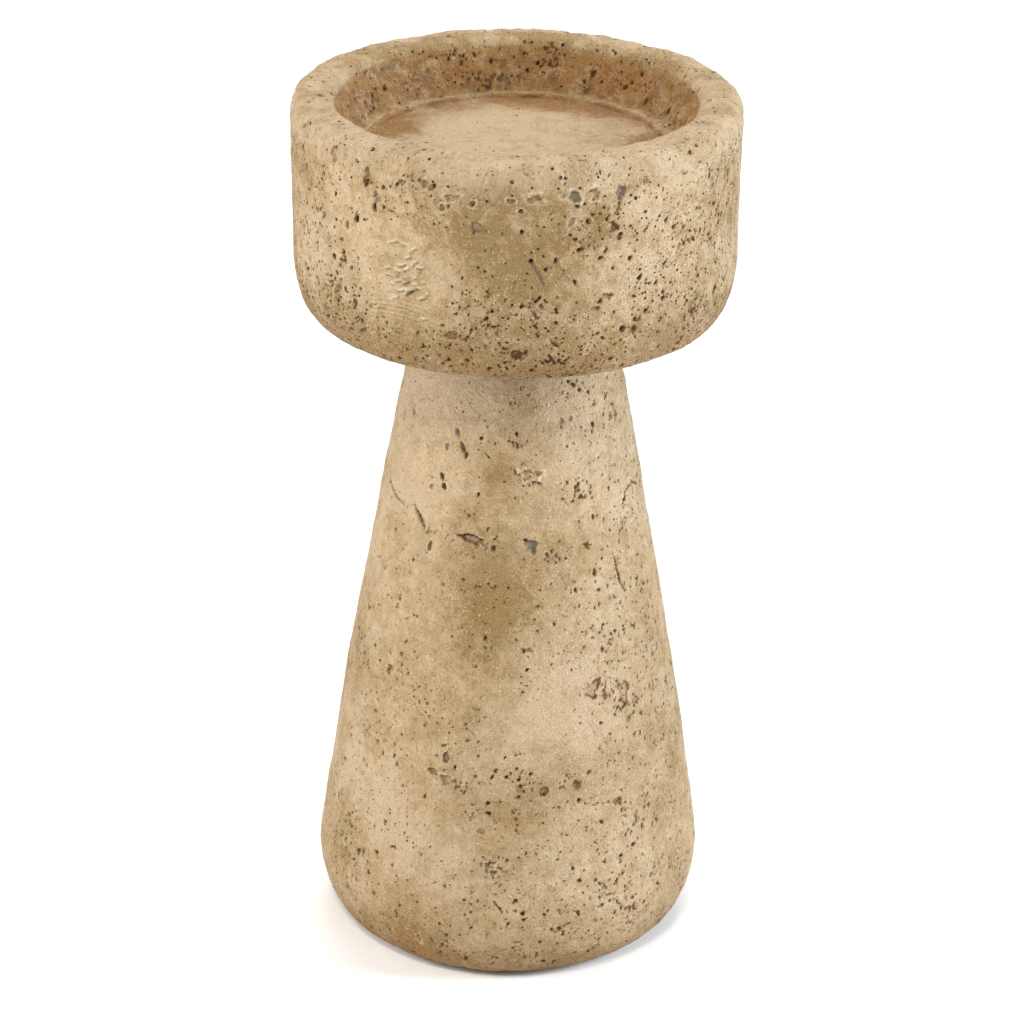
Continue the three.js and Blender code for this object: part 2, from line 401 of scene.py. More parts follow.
def pedestal_outline():
    foot_r, foot_z = FOOT_ROUND
    flank = BASE_Z + foot_z
    core_z = WEB_Z - CORE_ROUND

    def side(t):
        bow = 4 * SIDE_BOW * t * (1 - t)
        return FOOT_RADIUS + (SHOULDER_RADIUS - FOOT_RADIUS) * t + bow, flank + (SHOULDER_Z - flank) * t

    path = Outline(REBATE_RADIUS, BASE_Z)
    path.line("under", FOOT_RADIUS - foot_r, BASE_Z, 1.2)
    path.arc("foot", FOOT_RADIUS - foot_r, flank, foot_r, foot_z, -90, 0, FINE)
    path.curve("cone", side, SHOULDER_Z - flank, FINE)
    for r, z in ((SPIGOT_RADIUS, SHOULDER_Z), (SPIGOT_RADIUS, SPIGOT_Z - 1), (SPIGOT_RADIUS - 1, SPIGOT_Z),
                 (ROD_HOLE_RADIUS, SPIGOT_Z)):
        path.line("hidden", r, z, COARSE)
    path.line("hidden", ROD_HOLE_RADIUS, WEB_Z, COARSE * 2)
    path.line("hidden", CORE_TOP_RADIUS - CORE_ROUND, WEB_Z, COARSE)
    path.arc("hidden", CORE_TOP_RADIUS - CORE_ROUND, core_z, CORE_ROUND, CORE_ROUND, 90, 0, COARSE)
    path.line("hidden", CORE_BASE_RADIUS, BOARD_HIGH[2], COARSE * 3)
    path.line("hidden", REBATE_RADIUS, BOARD_HIGH[2], COARSE)
    path.line("hidden", REBATE_RADIUS, BASE_Z, COARSE)
    return path


# -------------------- carved surface

class Carving:
    """Height field and colour masks over a turned surface. Rows follow the profile, columns the turn."""

    MASKS = ("pit", "pale", "grey", "stain", "rust", "porous", "worn")
    DEPTH_GAIN = 1.25
    LIP_GAIN = 1.7
    RIDGE_WIDTH = 0.4
    SMALLEST_RADIUS = 4.0

    def __init__(self, outline, segments, face):
        profile = np.array(outline.points)
        self.zones = np.array(outline.zones)
        self.r, self.z = profile[:, 0], profile[:, 1]
        slope = np.gradient(profile, axis=0)
        slope /= np.maximum(np.linalg.norm(slope, axis=1, keepdims=True), 1e-9)
        self.normal = np.stack([slope[:, 1], -slope[:, 0]], axis=1)
        along = np.hypot(*np.diff(profile, axis=0).T)
        self.s = np.concatenate([[0], np.cumsum(along)])
        self.angle = np.arange(segments) * TAU / segments - math.pi
        sine, cosine = np.sin(self.angle), -np.cos(self.angle)
        height = np.broadcast_to(self.z[:, None], (len(self.r), segments))
        self.base = np.stack([self.r[:, None] * sine, self.r[:, None] * cosine, height], axis=-1)
        self.out = np.stack([
            self.normal[:, :1] * sine, self.normal[:, :1] * cosine,
            np.broadcast_to(self.normal[:, 1:], height.shape),
        ], axis=-1)
        self.face = self.rows(*face)
        self.relief = np.zeros(height.shape)
        self.depth = np.zeros(height.shape)
        self.grit = self.spread(1.5, 2, 40.3)
        self.masks = {name: np.zeros(height.shape) for name in self.MASKS}

    def rows(self, *zones):
        return np.isin(self.zones, zones)

    def spread(self, size, octaves, shift):
        """Noise over the whole face, zero on the rows that nobody sees."""
        values = np.zeros(self.relief.shape)
        seen = ~self.rows("hidden", "start")
        values[seen] = np.clip(field(self.base[seen], size, octaves, shift), -1, 1)
        return values

    def share(self, zones, feather):
        """How far each row lies in some zones, from 0 to 1, with soft ends feather mm wide."""
        inside = np.cumsum(self.rows(*zones) * np.gradient(self.s))
        ahead = np.interp(self.s + feather, self.s, inside)
        behind = np.interp(self.s - feather, self.s, inside)
        return np.clip((ahead - behind) / (2 * feather), 0, 1)[:, None]

    def paint(self, name, values):
        self.masks[name][...] = np.clip(values, 0, 1)

    def nearest(self, z, zones=None):
        """The row of the outer face, or of some zones, that lies nearest to a height."""
        inside = np.flatnonzero(self.rows(*zones) if zones else self.face)
        return inside[abs(self.z[inside] - z).argmin()]

    def clouds(self, patches):
        """Sum of soft round patches, each (degrees, height, size in mm, strength)."""
        total = np.zeros(self.relief.shape)
        for degrees, z, size, strength in patches:
            row = self.nearest(z)
            a = math.radians(degrees)
            middle = np.array([self.r[row] * math.sin(a), -self.r[row] * math.cos(a), z])
            total += strength * np.exp(-((self.base - middle) ** 2).sum(axis=-1) / size ** 2)
        return total

    def window(self, angle, s, reach):
        """Rows, columns and local coordinates (across, up) in mm of the patch round a place."""
        row = np.arange(*np.searchsorted(self.s, [s - reach, s + reach]))
        radius = max(self.r[row].min(initial=CUP_RADIUS), self.SMALLEST_RADIUS)
        count = len(self.angle)
        middle = round((angle + math.pi) / TAU * count)
        half = min(int(reach / radius / TAU * count) + 1, count // 2 - 1)
        column = np.arange(middle - half, middle + half + 1)
        turn = column * TAU / count - math.pi - angle
        across = turn[None, :] * self.r[row][:, None]
        up = (self.s[row] - s)[:, None]
        return np.ix_(row, column % count), across, up

    def spot(self, degrees, z, zones=None):
        """Angle and place along the profile of a point that is given by degrees and height."""
        return math.radians(degrees), self.s[self.nearest(z, zones)]

    def dig(self, where, depth):
        self.depth[where] = np.maximum(self.depth[where], depth)

    def mark(self, name, where, values):
        self.masks[name][where] = np.maximum(self.masks[name][where], values)

    def stamp(self, angle, s, width, height, depth, tilt=0.0, ragged=0.3, wall=0.3, lip=0.0, ring=0.0,
              **marks):
        """A pit with a ragged outline. Its masks fill it, or follow its edge as ring goes from 0 to 1. With a
        lip, its pale mask goes on the raised rim round it, partly as cream stone and partly as a painted
        highlight.
        """
        where, across, up = self.window(angle, s, 0.8 * max(width, height) + 1.0)
        x, y = tilted(across, up, tilt)
        around = np.arctan2(y / height, x / width)
        grit = self.grit[where]
        phase = RANDOM.uniform(0, TAU, 3)
        edge = 1 + ragged * (0.35 * np.sin(2 * around + phase[0]) + 0.3 * np.sin(3 * around + phase[1])
                             + 0.2 * np.sin(5 * around + phase[2]) + 0.5 * grit)
        distance = np.hypot(x / (width / 2), y / (height / 2)) / edge
        hollow = (1 - smooth(1 - wall, 1.0, distance)) * (1 + 0.3 * grit)
        self.dig(where, self.DEPTH_GAIN * depth * hollow)
        broken = np.clip(0.8 + 0.9 * grit, 0, 1.3)
        if lip:
            self.relief[where] += self.LIP_GAIN * lip * broken * bell(distance, 1.2, 0.22)
        inside = 1 - smooth(0.7, 1.15, distance)
        border = bell(distance, 0.95, 0.22) * np.clip(broken + 0.3, 0, 1)
        for name, strength in marks.items():
            # On a lipped pit, pale goes on the raised rim: partly cream stone, partly painted highlight.
            cover = broken * bell(distance, 1.2, 0.25) if name == "pale" and lip else inside
            if name == "pit":
                cover = inside + (border - inside) * ring
            self.mark(name, where, strength * cover)

    def groove(self, path, width, depth, wobble=0.4, gaps=0.0, **marks):
        """A crack along (degrees, height) points, thin and slightly wandering, with gaps where it closes."""
        angles, places = np.transpose([self.spot(*point) for point in path])
        radius = self.r[[self.nearest(z) for _, z in path]].mean()
        steps = max(8, int(np.hypot(np.diff(angles) * radius, np.diff(places)).sum() / 0.3))
        t = np.linspace(0, 1, steps)
        knots = np.linspace(0, 1, len(path))
        drift = np.cumsum(RANDOM.normal(size=(3, steps)), axis=1)
        drift -= t * drift[:, -1:]
        drift /= np.maximum(1e-6, abs(drift).max(axis=1, keepdims=True))
        route = zip(np.interp(t, knots, angles), np.interp(t, knots, places), t, *drift)
        for a, s, share, aside, ahead, opening in route:
            if opening < gaps - 1:
                continue
            thick = width * (0.35 + 0.45 * math.sin(math.pi * share)) * RANDOM.uniform(0.6, 1.4)
            jolt = RANDOM.uniform(-0.16, 0.16, 2)
            place = a + (wobble * aside + jolt[0]) / radius, s + wobble * ahead + jolt[1]
            where, across, up = self.window(*place, thick + 0.6)
            hollow = 1 - smooth(0.3, 1.0, np.hypot(across, up) / thick)
            self.dig(where, depth * hollow)
            for name, strength in marks.items():
                self.mark(name, where, strength * RANDOM.uniform(0.55, 1.0) * hollow)

    def ridge(self, degrees, z, length, height, tilt):
        """A short raised scratch, as a trowel leaves in wet paste, painted pale along its top as a painted
        highlight and dark in the trough below it as a painted shadow.
        """
        angle, s = self.spot(degrees, z)
        where, across, up = self.window(angle, s, length / 2 + 1)
        x, y = tilted(across, up, tilt)
        y = y - 0.3 * np.sin(x * 1.1 + angle * 40)
        fade = 1 - smooth(0.5, 1.0, abs(x) / (length / 2))
        body = bell(y, 0, self.RIDGE_WIDTH) * fade
        trough = bell(y, -2 * self.RIDGE_WIDTH, self.RIDGE_WIDTH) * fade
        self.relief[where] += height * body - 0.9 * height * trough
        # Painted highlight along the top, painted shadow in the trough beneath.
        self.mark("pale", where, 0.85 * body)
        self.mark("pit", where, 0.25 * trough)

    def combed(self, degrees, z, width, height, spacing, relief, bend):
        """Fine curved brush lines in a soft patch, with painted highlights on their crests and painted shade
        in their troughs.
        """
        where, across, up = self.window(*self.spot(degrees, z), width)
        line = up - bend * across ** 2 / width + 0.25 * self.grit[where]
        fade = np.exp(-(across / (width / 2)) ** 2 - (up / (height / 2)) ** 2)
        wave = np.sin(TAU * line / spacing) * fade
        self.relief[where] += relief * wave
        # Painted highlight on the crests, painted shade in the troughs.
        self.mark("pale", where, 3 * relief * wave)
        self.mark("pit", where, -1.2 * relief * wave)

    def at(self, degrees, z, *size, zones=None, **style):
        """A pit at an angle and height."""
        self.stamp(*self.spot(degrees, z, zones), *size, **style)

    def crumble(self, degrees, z, width, height, count, size, zones=None, ring=0.2, **style):
        """A rough patch of small pits that run into each other."""
        row = self.nearest(z, zones)
        for _ in range(count):
            a = math.radians(degrees) + RANDOM.normal(0, width / 2.8) / self.r[row]
            s = self.s[row] + RANDOM.normal(0, height / 2.8)
            reach = size * RANDOM.uniform(0.45, 1.0)
            self.stamp(a, s, reach, reach * RANDOM.uniform(0.7, 1.6), 0.55 * reach, RANDOM.uniform(-70, 70),
                       ragged=0.6, ring=ring, **style)

    def scatter(self, zones, count, density, size, press):
        """Calls press at random places. density is 0 to 1 at a place, and size (low, high, falloff) in mm."""
        rows = np.flatnonzero(self.rows(*zones))
        area = self.r[rows] * np.gradient(self.s)[rows]
        row = RANDOM.choice(rows, size=count, p=area / area.sum())
        column = RANDOM.integers(0, len(self.angle), count)
        keep = RANDOM.uniform(size=count) < density[row, column]
        low, high, falloff = size
        spread = RANDOM.uniform(size=count) ** falloff
        for i in np.flatnonzero(keep):
            jitter = RANDOM.uniform(-0.5, 0.5)
            press(self.angle[column[i]] + jitter * TAU / len(self.angle), self.s[row[i]] + jitter * 0.3,
                  low + (high - low) * spread[i])

    def surface(self):
        return self.base + self.out * (self.relief - self.depth)[..., None]


def tilted(across, up, degrees):
    """Local coordinates of a mark, turned by its tilt."""
    turn = math.radians(degrees)
    return across * math.cos(turn) + up * math.sin(turn), up * math.cos(turn) - across * math.sin(turn)


def grid_corners(upper, lower, columns):
    """Row and column of each quad's four corners; the last column number stands for the first again."""
    column = np.broadcast_to(np.arange(columns), (len(upper), columns))
    top = np.broadcast_to(upper[:, None], column.shape)
    bottom = np.broadcast_to(lower[:, None], column.shape)
    row = np.stack([top, top, bottom, bottom], axis=-1)
    turn = np.stack([column, column + 1, column + 1, column], axis=-1)
    return row.reshape(-1, 4), turn.reshape(-1, 4)


def to_mesh(name, carving, closed):
    """Writes the grid as a mesh. A closed profile joins its last row to its first; an open one has poles."""
    grid = carving.surface()[:-1] if closed else carving.surface()
    rows, columns = grid.shape[:2]
    if closed:
        row, turn = grid_corners(np.arange(rows), np.arange(rows) + 1, columns)
        sizes = np.full(len(row), 4)
        row, turn = row.ravel(), turn.ravel()
    else:
        row, turn = grid_corners(np.arange(1, rows - 2), np.arange(2, rows - 1), columns)
        column = np.arange(columns)
        low_pole = np.tile([0, 1, 1], columns)
        high_pole = np.tile([rows - 2, rows - 2, rows - 1], columns)
        fan = np.stack([column, column + 1, column], 1).ravel()
        sizes = np.concatenate([np.full(len(row), 4), np.full(2 * columns, 3)])
        row = np.concatenate([row.ravel(), low_pole, high_pole])
        turn = np.concatenate([turn.ravel(), fan, fan])
    number = (row % rows) * columns + turn % columns
    if not closed:
        number[row == 0] = 0
        number[row == rows - 1] = (rows - 1) * columns
    used = np.zeros(rows * columns, bool)
    used[number] = True
    index = np.cumsum(used) - 1
    mesh = bpy.data.meshes.new(name)
    mesh.vertices.add(int(used.sum()))
    mesh.vertices.foreach_set("co", (grid.reshape(-1, 3)[used] * MM).astype(np.float32).ravel())
    mesh.loops.add(len(number))
    mesh.loops.foreach_set("vertex_index", index[number].astype(np.int32))
    mesh.polygons.add(len(sizes))
    mesh.polygons.foreach_set("loop_start", np.concatenate([[0], np.cumsum(sizes)[:-1]]).astype(np.int32))
    mesh.polygons.foreach_set("use_smooth", np.ones(len(sizes), bool))
    mesh.update(calc_edges=True)
    unwrap(mesh, carving, row, turn / columns)
    for mask_name, mask in carving.masks.items():
        values = (mask[:-1] if closed else mask).reshape(-1)[used]
        layer = mesh.attributes.new(mask_name, "FLOAT", "POINT")
        layer.data.foreach_set("value", np.clip(values, 0, 1).astype(np.float32))
    return put(name, mesh)


HIDDEN_UV_SHARE = 0.15
UV_BORDER = 0.004


def unwrap(mesh, carving, row, across):
    """Unrolls the turned surface on one rectangle; the rows that nobody sees take less room."""
    step = np.diff(carving.s, prepend=0) * np.where(carving.rows("hidden", "start"), HIDDEN_UV_SHARE, 1.0)
    along = np.cumsum(step) / step.sum()
    layer = mesh.uv_layers.new(name="OFBake")
    spots = np.stack([across, along[row]], axis=1) * (1 - 2 * UV_BORDER) + UV_BORDER
    layer.data.foreach_set("uv", spots.astype(np.float32).ravel())


# -------------------- the two castings

def waviness(carving, lumps):
    """Hand-made unevenness, from slight lopsidedness down to a sandy skin."""
    relief = 0.4 * carving.spread(55, 2, 3.1) + 0.19 * carving.spread(13, 2, 8.7) * lumps
    relief += 0.12 * carving.spread(3.4, 3, 21.0) * lumps + 0.06 * carving.grit
    carving.relief += relief * (carving.share(("hidden", "start"), 1.0) < 0.5)


def scatter_pores(carving, zones, amount=1.0, dark=(0.75, 1.0)):
    """Many small dark pores in loose clusters, some wider pits, and a few broken bubbles with a pale lip,
    which is partly cream stone and partly a painted highlight.
    """
    porous = carving.masks["porous"]
    clusters = smooth(-0.3, 0.5, carving.spread(19, 3, 12.9))
    fine_clusters = smooth(-0.2, 0.4, carving.spread(6, 2, 33.4))
    density = np.clip(porous * (0.15 + 1.1 * clusters * fine_clusters), 0, 1)
    wide = np.clip(porous * (0.2 + clusters), 0, 1)

    def pore(angle, s, size):
        carving.stamp(angle, s, size, size * RANDOM.uniform(0.8, 1.8), 0.25 + 0.45 * size,
                      RANDOM.normal(0, 35), ragged=0.5, wall=0.4, pit=RANDOM.uniform(*dark))

    def pit(angle, s, size):
        carving.stamp(angle, s, size, size * RANDOM.uniform(0.6, 1.5), 0.42 * size, RANDOM.uniform(-70, 70),
                      ragged=0.9, wall=0.25, ring=0.9, pit=RANDOM.uniform(0.3, 0.65), rust=0.4)

    def broken_bubble(angle, s, size):
        carving.stamp(angle, s, size, size * RANDOM.uniform(0.7, 1.3), 0.22 * size, RANDOM.uniform(-60, 60),
                      ragged=0.6, wall=0.35, lip=0.07, ring=0.8, pale=RANDOM.uniform(0.2, 0.7), pit=0.4)

    seen = carving.rows(*zones)
    area = TAU * float((carving.r[seen] * np.gradient(carving.s)[seen]).sum()) * amount
    carving.scatter(zones, int(area * 0.42), density, (0.5, 1.25, 4.0), pore)
    carving.scatter(zones, int(area * 0.007), wide, (0.9, 2.4, 3.0), pit)
    carving.scatter(zones, int(area * 0.01), wide, (0.9, 2.2, 2.5), broken_bubble)


def carve_cup():
    cup = Carving(cup_outline(), CUP_SEGMENTS, ("side", "rim"))
    rim, wall = cup.share(("rim",), 2.5), cup.share(("wall",), 1.0)
    ledge, floor = cup.share(("ledge",), 0.8), cup.share(("floor",), 0.8)
    outer = 1 - np.clip(rim + wall + ledge + floor, 0, 1)
    low_side = smooth(RIM_Z - 22, CUP_Z + 6, cup.z)[:, None]
    right = smooth(0.1, 0.8, np.sin(cup.angle))[None, :]
    left = smooth(-0.5, -0.95, np.sin(cup.angle))[None, :]
    far = smooth(0.2, -0.7, np.cos(cup.angle))[None, :]
    inner_edge = smooth(CUP_RADIUS - 2, MOUTH_RADIUS + 1, cup.r)[:, None]
    mottled = cup.spread(8, 3, 4.4)

    porous = 0.34 + 0.45 * low_side + 0.4 * right + 0.3 * left + 0.35 * cup.spread(24, 2, 5.5)
    porous += cup.clouds([(2, 218, 16, 0.7), (48, 226, 16, 0.5), (-24, 232, 15, -0.9), (22, 232, 9, -0.6)])
    cup.paint("porous", porous * outer + 0.28 * rim + 0.3 * wall + 0.2 * ledge + 0.05 * floor)

    # The stain grows towards the cup's lower edge, so the side gets darker towards the bottom.
    stain = 0.46 + 0.3 * cup.spread(34, 3, 1.7) + 0.85 * smooth(CUP_Z + 22, CUP_Z, cup.z)[:, None]
    stain += cup.clouds([
        (-9, 265, 10, 0.35), (10, 265, 9, 0.3), (21, 254, 7, 0.35), (-9, 249, 8, 0.3), (-3, 246, 9, 0.3),
        (1, 236, 8, 0.3), (14, 244, 8, 0.35), (2, 240, 20, 0.22), (3, 214, 14, 0.2), (-46, 214, 14, 0.3),
        (2, 216, 12, 0.25), (36, 256, 11, -0.35), (27, 233, 12, -0.25), (18, 226, 9, 0.2),
        (-24, 239, 12, -0.2), (-38, 224, 12, -0.35), (-50, 250, 14, -0.2),
    ])
    edge_ring = 0.85 + 0.7 * cup.spread(16, 2, 9.4)
    edge_ring *= smooth(LEDGE_RADIUS - 18, LEDGE_RADIUS - 3, cup.r)[:, None]
    rim_stain = 0.3 + 0.6 * cup.spread(9, 3, 7.7) + 0.4 * far * inner_edge
    floor_stain = -0.1 + 1.15 * edge_ring + 0.4 * cup.spread(7, 3, 3.3)
    cup.paint("stain", stain * outer + rim_stain * rim + (0.95 + 0.6 * mottled) * wall
              + (0.55 + 0.4 * mottled) * ledge + floor_stain * floor)

    # Painted shade: a dark line in the crease at the foot of the ledge, put into both the rust and pit masks.
    crease_shade = np.clip(0.6 + cup.spread(6, 2, 2.6), 0, 1) * bell(cup.r, LEDGE_RADIUS - 1, 0.7)[:, None]
    # Darker and more ochre towards the cup's lower edge.
    low_edge_ochre = 0.3 * smooth(CUP_Z + 16, CUP_Z, cup.z)[:, None]
    rim_rust = 0.6 * np.clip(mottled + 0.15, 0, 1) * inner_edge + 0.5 * np.clip(cup.spread(6, 3, 5.1), 0, 1)
    cup.paint("rust", low_edge_ochre * outer + rim_rust * rim + (1.05 + 0.7 * mottled) * wall
              + (0.35 + 0.5 * mottled) * ledge + (1.2 * edge_ring + crease_shade) * floor)

    # Painted highlights: pale patches on the recess wall and along the ledge.
    wall_highlight = smooth(0.2, 0.6, cup.spread(4, 3, 23.3)) * wall
    cup.paint("pale", 0.3 * ledge * np.clip(3 * mottled, 0, 1) + 0.2 * wall_highlight)
    cup.paint("worn", (0.75 - 0.5 * far * inner_edge) * rim + 0.1 * ledge)

    # Painted shade: the cup's underside darkens towards its joint with the pedestal, through the pit mask
    # below.
    joint = smooth(CUP_RADIUS - 8, SHOULDER_RADIUS, cup.r)[:, None]
    # Painted shade: the recess floor darkens towards its edge by the ledge and wall.
    floor_edge_shade = np.clip(0.3 + cup.spread(9, 3, 19.1), 0, 1)
    floor_edge_shade *= smooth(LEDGE_RADIUS - 7, LEDGE_RADIUS, cup.r)[:, None]
    wall_dark = smooth(0.0, 0.55, cup.spread(5, 3, 13.3)) * wall
    cup.paint("pit", cup.share(("under",), 1.5) * (0.35 + 0.5 * joint)
              + 0.4 * (crease_shade + floor_edge_shade) * floor + 0.32 * wall_dark)

    waviness(cup, 1 + 0.8 * rim + 2.4 * wall + ledge)
    cup.relief += cup.spread(5.5, 3, 6.6) * (0.16 * rim + 0.4 * wall + 0.22 * ledge + 0.03 * floor)
    scatter_pores(cup, ("side", "under", "rim"))
    scatter_pores(cup, ("wall", "ledge"), 1.2)
    mark_cup_side(cup)
    mark_recess(cup)
    return cup


def mark_cup_side(cup):
    """The larger marks on the side that faces the camera, from left to right."""
    at, crumble, groove = cup.at, cup.crumble, cup.groove
    at(-51, 264, 3.2, 3.4, 0.5, ring=0.9, pit=0.5, stain=0.8, ragged=0.6)
    at(-39, 260.5, 2.4, 5.2, 0.9, tilt=8, ring=0.8, pit=0.6, grey=0.3, ragged=0.5)
    at(-36, 255.5, 2.2, 3.0, 0.7, ring=0.6, pit=0.4, grey=0.25, ragged=0.4)
    at(-36.6, 252.4, 1.6, 2.6, 0.9, pit=0.85)
    at(-42.5, 247, 2.0, 2.4, 1.3, pit=1.0, wall=0.3)
    at(-46, 244.2, 1.5, 2.1, 0.7, ring=0.4, pit=0.7)
    at(-44.5, 232, 1.2, 1.3, 0.6, pit=0.8)
    at(-43.5, 221.5, 1.6, 3.2, 0.8, tilt=-12, ring=0.5, pit=0.75)
    crumble(-50, 226, 5, 13, 20, 1.1, pit=0.6, stain=0.8)
    groove([(-33, 253.2), (-29.5, 250.6)], 0.42, 0.5, gaps=0.75, pit=0.95)
    at(-28.5, 261.5, 1.9, 1.6, 0.5, ring=0.5, pit=0.6)
    at(-21.5, 262, 2.7, 2.6, 0.6, ring=0.8, pit=0.55, stain=0.9, ragged=0.7)
    at(-15.5, 259, 3.4, 2.2, 0.5, tilt=30, ring=0.8, lip=0.1, pale=0.6, pit=0.35, ragged=0.8)
    at(-10.5, 258, 2.1, 1.9, 0.6, lip=0.12, ring=0.7, pale=0.85, pit=0.5, wall=0.6)
    at(-18, 256, 1.7, 1.9, 0.5, lip=0.1, ring=0.6, pale=0.8, pit=0.6)
    groove([(-5, 257.6), (-7, 256), (-8.3, 254), (-9.5, 251.2)], 1.15, 0.55, wobble=0.3, pale=0.55)
    at(-9.3, 251, 3.2, 2.6, 0.7, ring=0.9, pit=0.55, pale=0.3)
    at(-9, 266.3, 2.0, 1.7, 0.35, lip=0.08, pale=0.7, pit=0.2)
    at(-1.2, 259, 2.4, 1.7, 0.45, lip=0.1, pale=0.75, pit=0.3, ring=0.8)
    at(1.2, 256.2, 1.5, 1.5, 0.5, lip=0.12, pale=0.85, pit=0.7)
    at(4.5, 259.8, 3.8, 2.4, 0.5, lip=0.1, pale=0.65, pit=0.35, ring=0.8, ragged=0.7)
    at(14.2, 260, 3.2, 3.6, 0.8, tilt=15, lip=0.1, grey=0.8, ring=0.6, pit=0.35, pale=0.6)
    at(11.2, 260.5, 1.8, 1.2, 0.3, lip=0.12, pale=0.7)
    at(14.8, 257, 1.6, 1.4, 0.4, lip=0.1, pale=0.6, pit=0.4)
    at(19.5, 260.2, 2.9, 2.6, 0.5, lip=0.13, pale=0.7, pit=0.35, ring=0.8, ragged=0.8)
    at(26, 260, 3.2, 3.8, 0.9, grey=0.85, ring=0.4, pit=0.3)
    groove([(25.6, 258.5), (25.4, 254.6)], 0.55, 0.6, wobble=0.1, pit=0.9)
    at(24.3, 255.6, 2.0, 1.8, 0.35, lip=0.1, pale=0.7)
    at(33, 262.2, 1.8, 2.4, 0.4, ring=0.6, pit=0.5, stain=0.8)
    at(13.4, 252.6, 1.6, 3.2, 0.4, tilt=-25, lip=0.1, pale=0.6, ring=0.7, pit=0.4)
    at(24.5, 250, 2.2, 2.8, 0.7, ring=0.3, pit=0.7, stain=1.0, ragged=0.7)
    at(26.3, 247.6, 1.1, 1.3, 0.7, pit=0.95)
    groove([(3.9, 241.4), (4.8, 239.2), (5.9, 236.6), (6.8, 234.8)], 0.95, 0.55, wobble=0.2,
           grey=0.65, pit=0.3)
    at(3.9, 241.5, 1.4, 1.5, 0.8, pit=0.95)
    crumble(5.3, 227, 3.6, 6, 17, 1.0, pit=0.6, grey=0.25)
    crumble(0.5, 213.6, 4.2, 3.6, 20, 1.1, pit=0.8)
    at(0.5, 213.6, 3.2, 2.8, 0.7, ring=1.0, pit=0.85, lip=0.08, pale=0.4)
    at(-15.5, 218.2, 3.6, 2.4, 0.6, ring=1.0, pit=0.6, lip=0.08, pale=0.35)
    groove([(-13, 216.8), (-10.6, 218.2)], 0.75, 0.6, pit=0.85)
    crumble(-7.5, 222.5, 3, 3, 7, 1.1, pit=0.85)
    at(27.5, 219, 2.1, 2.0, 1.0, ring=0.3, pit=0.9, grey=0.4, wall=0.35)
    crumble(11.5, 211.4, 4.5, 2.4, 11, 1.2, pit=0.9)
    groove([(9, 218), (11, 216)], 0.7, 0.7, pit=0.9)
    at(20, 226.5, 2.4, 1.5, 0.5, ring=0.8, pit=0.6, lip=0.08, pale=0.4)
    at(61, 221, 1.7, 3.4, 0.9, tilt=-30, ring=0.7, pit=0.75)
    crumble(52, 219, 5, 5, 13, 1.1, pit=0.85)

    for _ in range(32):
        cup.ridge(RANDOM.normal(-27, 3.4), RANDOM.normal(233, 3.6), RANDOM.uniform(1.5, 4.0),
                  RANDOM.uniform(0.35, 0.6), RANDOM.normal(12, 14))
    for degrees, z, length, tilt in ((-31.5, 243.5, 5, 35), (-28.5, 244, 5, -20), (-25.5, 242.5, 4, 28),
                                     (-23.5, 236.5, 4, 15), (-22.5, 222.5, 3, 20)):
        cup.ridge(degrees, z, length, 0.4, tilt)
    cup.combed(-30, 223, 26, 12, 1.3, 0.13, -0.35)
    cup.combed(-33, 240, 18, 9, 1.1, 0.07, 0.3)


def mark_recess(cup):
    """Pits in the far side of the recess, which the camera looks at over the near rim."""
    inner = ("wall",)
    for degrees, z, size in ((152.5, 260.5, 2.0), (127.5, 257, 1.9), (113, 257.5, 2.2), (-171, 262.5, 1.3),
                             (139, 259, 1.4), (-128, 260, 1.6)):
        cup.at(degrees, z, size, 1.2 * size, 0.9, zones=inner, pit=0.9, ring=0.3)
    cup.at(153.5, 255.6, 2.8, 1.8, 0.7, zones=inner, grey=0.8, pit=0.3)
    cup.at(-169.5, 255.4, 2.2, 1.3, 0.6, zones=inner, grey=0.5, pit=0.5)
    cup.crumble(168.5, 262, 6, 3, 17, 1.1, zones=inner, pit=0.7)
    cup.crumble(169.5, 266, 5, 3, 13, 1.1, zones=("rim",), pit=0.6)
    cup.crumble(-172, 258, 20, 4, 28, 1.2, zones=inner, pit=0.4, stain=1.0)
    cup.crumble(160, 266.5, 14, 4, 20, 1.3, zones=("rim",), pit=0.3, stain=1.0)
    for degrees in (-140, -119, -112, 104, 122):
        cup.crumble(degrees, 260, 9, 5, 13, 1.3, zones=inner, lip=0.08, pale=0.3, stain=1.0, rust=1.0)


